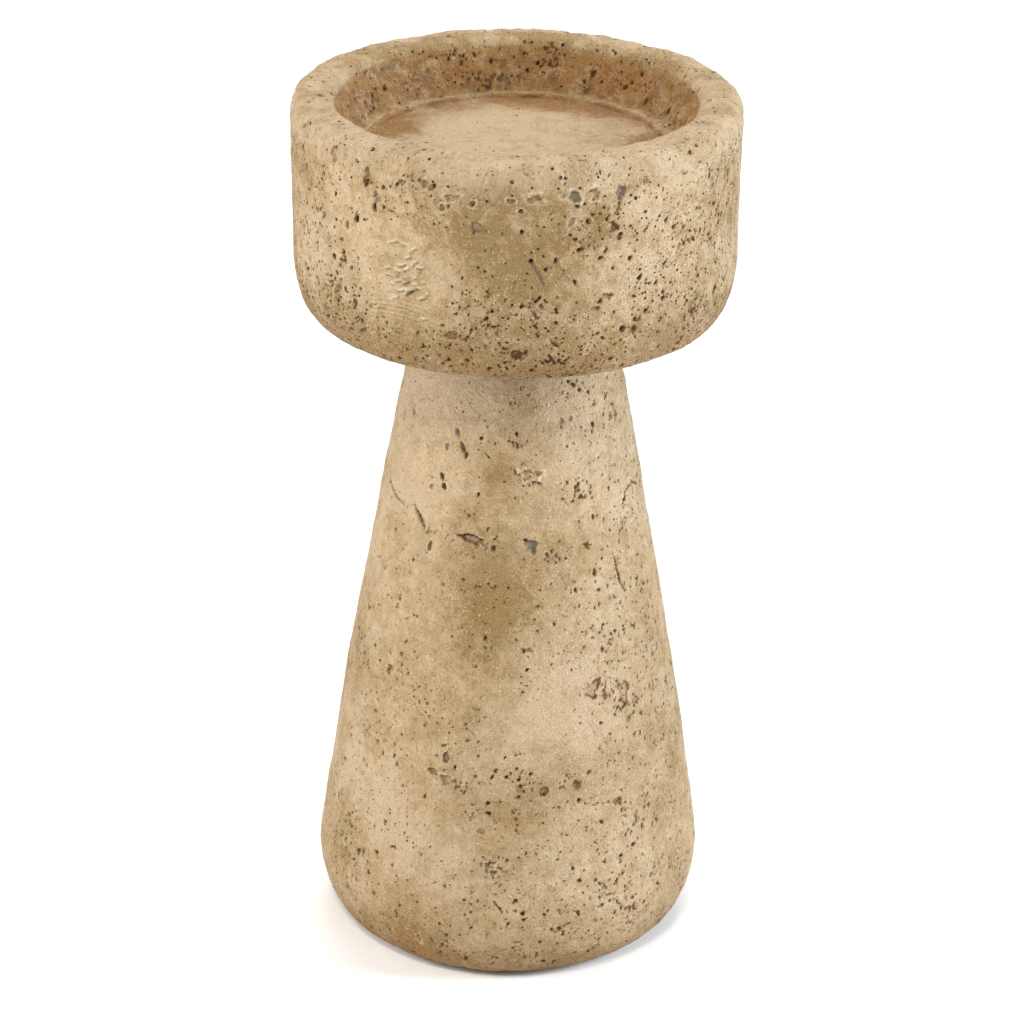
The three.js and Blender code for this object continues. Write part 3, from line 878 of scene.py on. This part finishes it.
def carve_pedestal():
    pedestal = Carving(pedestal_outline(), PEDESTAL_SEGMENTS, ("foot", "cone"))
    low = smooth(SHOULDER_Z - 15, BASE_Z + 30, pedestal.z)[:, None]
    foot = smooth(BASE_Z + 34, BASE_Z + 4, pedestal.z)[:, None]
    right = smooth(0.25, 0.85, np.sin(pedestal.angle))[None, :]
    left = smooth(-0.6, -0.95, np.sin(pedestal.angle))[None, :]
    porous = 0.12 + 0.36 * low + 0.5 * right + 0.4 * left * low + 0.3 * foot
    porous += 0.3 * pedestal.spread(24, 2, 6.5)
    porous += pedestal.clouds([(14, 93, 16, -0.5), (-20, 45, 18, -0.2), (46, 128, 22, 0.3),
                               (20, 112, 14, 0.3)])
    pedestal.paint("porous", 0.62 * porous)
    low_edge = smooth(BASE_Z + 16, BASE_Z, pedestal.z)[:, None]
    stain = 0.4 + 0.3 * pedestal.spread(40, 3, 2.2) + 0.3 * low_edge
    # The first two patches, at 0 degrees and heights 188 and 171, are painted shade on the cone's top under
    # the cup.
    stain += pedestal.clouds([
        (0, 188, 15, 0.2), (0, 171, 13, 0.35), (-7, 164, 5, 0.5), (2, 157, 9, 0.3), (-11, 132, 10, 0.45),
        (-52, 133, 12, 0.2), (-7, 120, 12, 0.35), (-4, 96, 13, 0.35), (-15, 88, 9, 0.25), (-32, 82, 12, 0.2),
        (8, 57, 16, 0.25), (9, 128, 12, 0.25), (-31, 14, 14, 0.35), (-72, 30, 14, 0.3), (60, 14, 16, 0.3),
        (-55, 155, 13, -0.35), (-44, 186, 17, -0.7), (28, 175, 11, -0.35), (13, 131, 8, -0.2),
        (4, 112, 14, 0.25), (6, 72, 16, 0.15), (14, 92, 14, -0.45), (19, 47, 17, -0.4), (-44, 47, 16, -0.35),
    ])
    pedestal.paint("stain", stain)
    rust = 0.5 * low_edge * (1 + left) + 0.4 * np.clip(pedestal.spread(12, 3, 4.1) - 0.25, 0, 1)
    rust += pedestal.clouds([(-7, 164, 4, 0.5), (-11, 131, 7, 0.35), (-36, 14, 14, 0.5)])
    pedestal.paint("rust", rust)
    pedestal.paint("worn", 0.35 * smooth(0.2, 0.7, pedestal.spread(30, 2, 15.2)))
    waviness(pedestal, 1.0)
    scatter_pores(pedestal, ("cone", "foot", "under"), dark=(0.5, 0.9))
    mark_pedestal(pedestal)
    return pedestal


def mark_pedestal(pedestal):
    """The larger marks on the side that faces the camera, from the top down."""
    at, crumble, groove = pedestal.at, pedestal.crumble, pedestal.groove
    crumble(8, 188, 3, 3, 7, 0.8, pit=0.35, lip=0.08, pale=0.5)
    crumble(1, 184, 2.5, 3, 7, 0.8, pit=0.7)
    at(25, 178, 1.7, 2.0, 0.45, lip=0.1, pale=0.45, pit=0.4, ring=0.7)
    at(30, 178.5, 1.9, 1.6, 0.45, lip=0.1, pale=0.45, pit=0.4, ring=0.7)
    at(-28, 174, 1.7, 2.3, 0.6, tilt=20, grey=0.85, pit=0.2)
    at(-24.5, 170, 1.4, 3.6, 0.7, tilt=25, grey=0.6, pit=0.45)
    at(-22.5, 168.2, 1.3, 2.2, 0.6, pit=0.6)
    at(-33, 169.5, 1.6, 2.0, 0.5, lip=0.1, pale=0.5, pit=0.5, ring=0.6)
    crumble(1.5, 172, 3, 2, 7, 0.8, pit=0.6)
    groove([(-13.5, 169), (-10, 167.8)], 0.45, 0.5, pit=0.8)
    crumble(0, 165, 3, 2.6, 7, 1.0, pit=0.55, lip=0.1, pale=0.45)
    at(8.5, 163.5, 4.2, 3.2, 0.6, ragged=0.9, lip=0.12, pale=0.7, pit=0.3, ring=0.8)
    crumble(9.5, 161, 4, 3.4, 10, 1.2, pit=0.5, lip=0.1, pale=0.5)
    at(-34, 160, 1.3, 3.0, 0.8, tilt=24, pit=0.8, lip=0.06, pale=0.3)
    at(-32.5, 157.5, 1.6, 2.2, 0.8, tilt=24, pit=0.8)
    at(-39, 156, 1.6, 1.8, 0.5, lip=0.12, pale=0.6, pit=0.5, ring=0.6)
    crumble(31.5, 156, 10, 5.5, 20, 1.0, pit=0.75)
    at(32.5, 154.6, 2.2, 1.3, 0.6, tilt=-25, ragged=0.7, pit=0.75)
    groove([(56, 147), (61, 150), (69, 151.5), (75, 149)], 0.75, 0.7, pit=0.85)
    groove([(-77, 158), (-72, 151), (-62, 148.2), (-52, 147)], 0.6, 0.8, wobble=0.5, gaps=0.3, pit=0.75)
    groove([(-47.5, 148), (-44, 146.2), (-40, 143.2)], 1.0, 1.3, wobble=0.15, pit=1.0)
    at(-40.5, 145.5, 1.8, 3.2, 0.35, tilt=30, lip=0.14, pale=0.6)
    crumble(-33, 143.5, 8, 2, 11, 0.8, pit=0.45)
    at(-17.5, 143.4, 7.4, 2.0, 0.9, tilt=-3, grey=0.55, ring=0.8, pit=0.75, ragged=0.4)
    groove([(-22.8, 143.8), (-19, 144.7), (-13.6, 143.9)], 0.6, 1.0, wobble=0.2, pit=0.95)
    crumble(-13.5, 141.6, 6, 3, 13, 1.1, pit=0.3, lip=0.12, pale=0.55)
    at(-7.5, 141.3, 1.6, 1.8, 0.5, pit=0.75)
    at(8.3, 142.6, 3.6, 2.8, 0.9, tilt=-35, grey=0.9, ragged=0.6, ring=0.9, pit=0.5)
    at(9.2, 140.4, 1.8, 2.6, 0.7, grey=0.9, pit=0.2)
    groove([(5, 144.2), (7, 143.2)], 0.7, 0.9, wobble=0.1, pit=0.95)
    at(-36, 138.4, 1.4, 3.2, 0.7, tilt=-15, ring=0.6, pit=0.7, lip=0.1, pale=0.5)
    crumble(17, 138, 4, 3, 10, 1.1, pit=0.5, lip=0.1, pale=0.4)
    groove([(46.5, 134.5), (48, 130), (48.5, 125.5), (51.5, 121.5)], 0.75, 0.8, pit=0.85)
    at(36, 131, 1.5, 2.8, 0.8, grey=0.5, pit=0.5)
    crumble(-9, 129, 8, 3, 14, 0.9, pit=0.5, lip=0.06, pale=0.3)
    at(30.5, 95.2, 5.0, 4.0, 0.4, ring=1.0, pit=0.7, ragged=0.7, wall=0.35, rust=0.4)
    crumble(36, 93, 5, 3, 13, 1.0, pit=0.6)
    at(44.5, 91.5, 4.2, 5.2, 0.4, ring=1.0, pit=0.6, ragged=0.8, wall=0.35, rust=0.4)
    crumble(41, 87, 6, 5, 17, 1.0, pit=0.7)
    groove([(-24, 95.5), (-22.8, 93), (-20.5, 92.6)], 0.5, 0.45, pale=0.5)
    at(-21.5, 75, 2.2, 3.0, 0.9, grey=0.35, ring=0.8, pit=0.7, lip=0.08, pale=0.4)
    at(-26, 69.6, 3.4, 1.5, 0.8, tilt=-12, grey=0.25, pit=0.7, ring=0.7)
    at(-21.3, 68, 3.6, 2.2, 0.6, ragged=0.9, ring=0.8, pit=0.5, lip=0.12, pale=0.6)
    crumble(-17, 66.6, 7, 2.4, 18, 1.0, pit=0.45, lip=0.12, pale=0.55)
    at(11.5, 66, 2.4, 2.8, 0.6, ring=1.0, pit=0.8, wall=0.4)
    crumble(18, 68.5, 3, 3, 7, 1.0, pit=0.7)
    crumble(-4.5, 41.2, 4.4, 3.0, 14, 1.2, pit=0.35, grey=0.5, lip=0.1, pale=0.4)
    groove([(-7, 42.6), (-3, 43)], 0.6, 0.7, pit=0.8)
    groove([(-4, 31), (-1.2, 27.2)], 0.6, 0.8, wobble=0.1, pit=0.9)
    groove([(16, 28), (17.5, 26.4), (21, 26)], 0.4, 0.4, pit=0.6)
    crumble(16, 20.5, 6, 4, 14, 1.1, pit=0.85)
    crumble(38, 21, 7, 6, 20, 1.1, pit=0.85)


# -------------------- stone material

PALE = (0.47, 0.352, 0.217)
SAND = (0.37, 0.262, 0.136)
OLIVE = (0.235, 0.153, 0.055)
OCHRE = (0.24, 0.11, 0.025)
CREAM = (0.72, 0.61, 0.43)
WORN = (0.43, 0.33, 0.208)
GREY = (0.205, 0.19, 0.155)
UMBER = (0.125, 0.06, 0.019)
DARKEST_BROWN = (0.028, 0.012, 0.004)


def stone_material(name, shift, mottling, darkness):
    """shift moves the noise, mottling scales its light and dark, and darkness is that of the small pores."""
    m = Material(name)
    moved = m.shifted((shift, shift * 0.7, 0))
    cloud = m.noise(20, 4, 0.55, 0.5, moved)
    blotch = m.noise(5, 4, 0.6, 0.6, moved)
    grain = m.noise(0.8, 3, 0.65, 0.0, moved)
    sand = m.noise(0.32, 1, 0.5, 0.0, moved)
    mottle = m.noise(2.4, 4, 0.65, 0.4, moved)
    layers = [m.step(noise, 0.5 - spread, 0.5 + spread, -mottling * swing, mottling * swing)
              for noise, spread, swing in ((cloud, 0.25, 0.22), (blotch, 0.2, 0.25), (mottle, 0.2, 0.18),
                                           (grain, 0.2, 0.14))]
    # The stain mask also holds painted shade on the cone's top under the cup.
    tone = m.plus(m.mask("stain"), *layers)
    colour = m.mix(m.step(tone, 0.0, 0.55), PALE, SAND)
    colour = m.mix(m.step(tone, 0.45, 1.05), colour, OLIVE)
    stains = m.noise(6, 5, 0.7, 1.2, m.shifted((shift, 11, 4)))
    # The rust mask also holds painted shade in the ledge crease.
    rust = m.plus(m.times(m.step(stains, 0.5, 0.72), m.step(tone, 0.25, 1.0, 0.1, 0.65)),
                  m.times(m.mask("rust"), m.step(stains, 0.3, 0.65, 0.5, 1.0)))
    colour = m.mix(rust, colour, OCHRE)

    streaks = m.noise(1, 3, 0.6, 0.2, m.turned(1.1, 9, 9))
    worn = m.mask("worn")
    colour = m.mix(m.times(worn, m.step(streaks, 0.3, 0.65, 0.1, 0.7)), colour, WORN)
    colour = m.mix(m.times(worn, m.step(streaks, 0.45, 0.3, 0.0, 0.45)), colour, OLIVE)
    colour = m.mix(m.step(sand, 0.5, 0.3, 0.0, 0.3), colour, UMBER)
    colour = m.mix(m.step(sand, 0.55, 0.72, 0.0, 0.22), colour, CREAM)

    bent = m.bent(m.shifted((shift, 0.4, 9.0)), 0.6, 0.22)
    porous = m.mask("porous")
    rough_patch = m.step(m.noise(13, 3, vector=moved), 0.38, 0.62, 0.12, 0.75)
    specks = m.dots(1.25, 0.34, rough_patch, bent)
    colour = m.mix(m.times(specks, 0.38), colour, CREAM)
    crumbs = m.dots(1.4, 0.4, m.times(rough_patch, 0.8), m.shifted((1, 4, 8), vector=bent))
    colour = m.mix(m.times(crumbs, 0.6), colour, UMBER)
    pores = m.dots(1.8, 0.5, m.times(porous, 0.85), m.shifted((3, 7, 1), vector=bent))
    pinholes = m.dots(0.9, 0.26, m.times(porous, 0.4), m.shifted((9, 2, 5), vector=bent))
    torn = m.bent(m.shifted((shift, 6.1, 2.0)), 1.1, 0.5)
    wide = m.dots(3.0, 0.65, m.times(porous, 0.45), torn)
    holes = m.math("MAXIMUM", m.math("MAXIMUM", pores, pinholes), wide)
    colour = m.mix(m.times(holes, darkness), colour, DARKEST_BROWN)

    # Besides pits, the pit mask holds painted shade: the cup's underside by the joint, the ledge crease, the
    # recess floor's edge, and the troughs of scratches and brush lines. Besides cream stone, the pale mask
    # holds painted highlights on scratches, brush-line crests, pit lips, the recess wall and the ledge.
    pit = m.mask("pit")
    colour = m.mix(m.times(m.mask("pale"), 0.68), colour, CREAM)
    colour = m.mix(m.times(m.mask("grey"), 0.85), colour, GREY)
    colour = m.mix(m.times(m.step(pit, 0.0, 0.6), m.step(grain, 0.3, 0.6, 0.65, 1.0)), colour, UMBER)
    colour = m.mix(m.step(pit, 0.5, 1.0), colour, DARKEST_BROWN)

    rough = m.math("MAXIMUM", m.step(cloud, 0.3, 0.7, 0.62, 0.86), m.step(m.plus(pit, holes), 0.0, 0.6))
    m.set(Base_Color=colour, Roughness=rough, Specular_IOR_Level=0.35)
    skin = m.bump(mottle, 0.8, 1.1, m.bump(grain, 0.85, 0.8))
    skin = m.bump(sand, 0.55, 0.22, skin)
    skin = m.bump(m.times(holes, -1.0), 1.0, 0.6, skin)
    skin = m.bump(m.math("SUBTRACT", specks, crumbs), 0.6, 0.22, skin)
    m.set(Normal=skin)
    return m.material


# -------------------- materials of the other pieces

def felt_material():
    m = Material("felt")
    first = m.noise(1, 3, 0.6, 1.5, m.shifted((0, 0, 0), (4.0, 0.6, 4.0)))
    second = m.noise(1, 3, 0.6, 1.5, m.shifted((5, 9, 0), (0.6, 4.5, 4.0)))
    fibres = m.math("MAXIMUM", first, second)
    worn = m.noise(18, 3, 0.5)
    colour = m.mix(m.step(fibres, 0.45, 0.75), (0.022, 0.019, 0.016), (0.06, 0.052, 0.045))
    colour = m.mix(m.step(worn, 0.5, 0.75, 0.0, 0.4), colour, (0.085, 0.072, 0.058))
    m.set(Base_Color=colour, Roughness=m.step(fibres, 0.3, 0.7, 0.98, 0.85),
          Sheen_Weight=0.4, Sheen_Roughness=0.6, Normal=m.bump(fibres, 0.8, 0.3))
    return m.material


def hardboard_material():
    m = Material("hardboard")
    fibres = m.noise(1, 4, 0.65, 2.0, m.shifted((0, 0, 0), (2.5, 0.5, 2.5)))
    chips = m.noise(2.2, 3, 0.6, 0.8)
    colour = m.mix(m.step(fibres, 0.35, 0.7), (0.13, 0.062, 0.026), (0.27, 0.15, 0.072))
    colour = m.mix(m.step(chips, 0.58, 0.7, 0.0, 0.7), colour, (0.075, 0.034, 0.014))
    m.set(Base_Color=colour, Roughness=m.step(chips, 0.3, 0.7, 0.55, 0.8))
    m.set(Normal=m.bump(fibres, 0.4, 0.15, m.bump(chips, 0.3, 0.2)))
    return m.material


def cork_material():
    m = Material("cork")
    bent = m.bent(m.position(), 1.5, 0.5)
    granules = m.cells(1.5, bent)
    shade = m.add("SeparateColor", {0: granules["Color"]})
    gaps = m.step(granules["Distance"], 0.45, 0.7)
    colour = m.mix(m.step(shade[0], 0.0, 1.0), (0.28, 0.15, 0.062), (0.47, 0.29, 0.14))
    colour = m.mix(m.step(shade[1], 0.85, 0.9, 0.0, 0.8), colour, (0.13, 0.06, 0.022))
    colour = m.mix(m.times(gaps, 0.75), colour, (0.09, 0.042, 0.015))
    m.set(Base_Color=colour, Roughness=m.step(m.noise(0.5), 0.3, 0.7, 0.75, 0.92))
    m.set(Normal=m.bump(gaps, -0.6, 0.3, m.bump(m.noise(0.5), 0.3, 0.1)))
    return m.material


def metal_material(name, bright, dull, rough, lay):
    """Machined or plated metal with fine tool marks round the axis, dull patches and small dark spots."""
    m = Material(name)
    marks = m.noise(1, 3, 0.6, 0.3, m.turned(*lay))
    patches = m.noise(3.5, 4, 0.6, 0.8)
    spots = m.dots(1.6, 0.22, 0.25, m.bent(m.position(), 0.5, 0.15))
    colour = m.mix(m.step(patches, 0.35, 0.7), bright, dull)
    colour = m.mix(m.times(spots, 0.6), colour, tuple(0.3 * part for part in dull))
    gloss = m.plus(m.step(patches, 0.3, 0.7, rough, rough + 0.16), m.step(marks, 0.3, 0.7, -0.04, 0.04))
    m.set(Base_Color=colour, Metallic=1.0, Roughness=gloss)
    m.set(Normal=m.bump(marks, 0.25, 0.05, m.bump(patches, 0.1, 0.1)))
    return m.material


def dress(material, *nodes):
    for node in nodes:
        for slot in frame["nodes"][node].material_slots:
            slot.material = material


def dress_small_pieces():
    dress(felt_material(), "felt_pad")
    dress(hardboard_material(), "base_board")
    dress(cork_material(), "joint_gasket")
    brass = metal_material("insert_brass", (0.72, 0.5, 0.22), (0.46, 0.29, 0.11), 0.28, (6, 0.12, 0.12))
    dress(brass, "threaded_insert")
    zinc = metal_material("zinc_steel", (0.62, 0.64, 0.66), (0.42, 0.43, 0.42), 0.3, (5, 0.15, 0.15))
    dress(zinc, "tie_rod", "fender_washer", "spring_washer", "hex_nut")


def place_casting(piece, node, slot, **look):
    piece.data.materials.append(stone_material(slot, **look))
    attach(piece, "root")
    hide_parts(node)


def make_castings():
    cup = to_mesh("cup_casting", carve_cup(), closed=False)
    place_casting(cup, "candle_cup", "cup_stone", shift=0.0, mottling=1.0, darkness=0.96)
    pedestal = to_mesh("pedestal_casting", carve_pedestal(), closed=True)
    place_casting(pedestal, "pedestal", "pedestal_stone", shift=37.0, mottling=0.75, darkness=0.72)


make_camera()
make_stage()
make_castings()
dress_small_pieces()
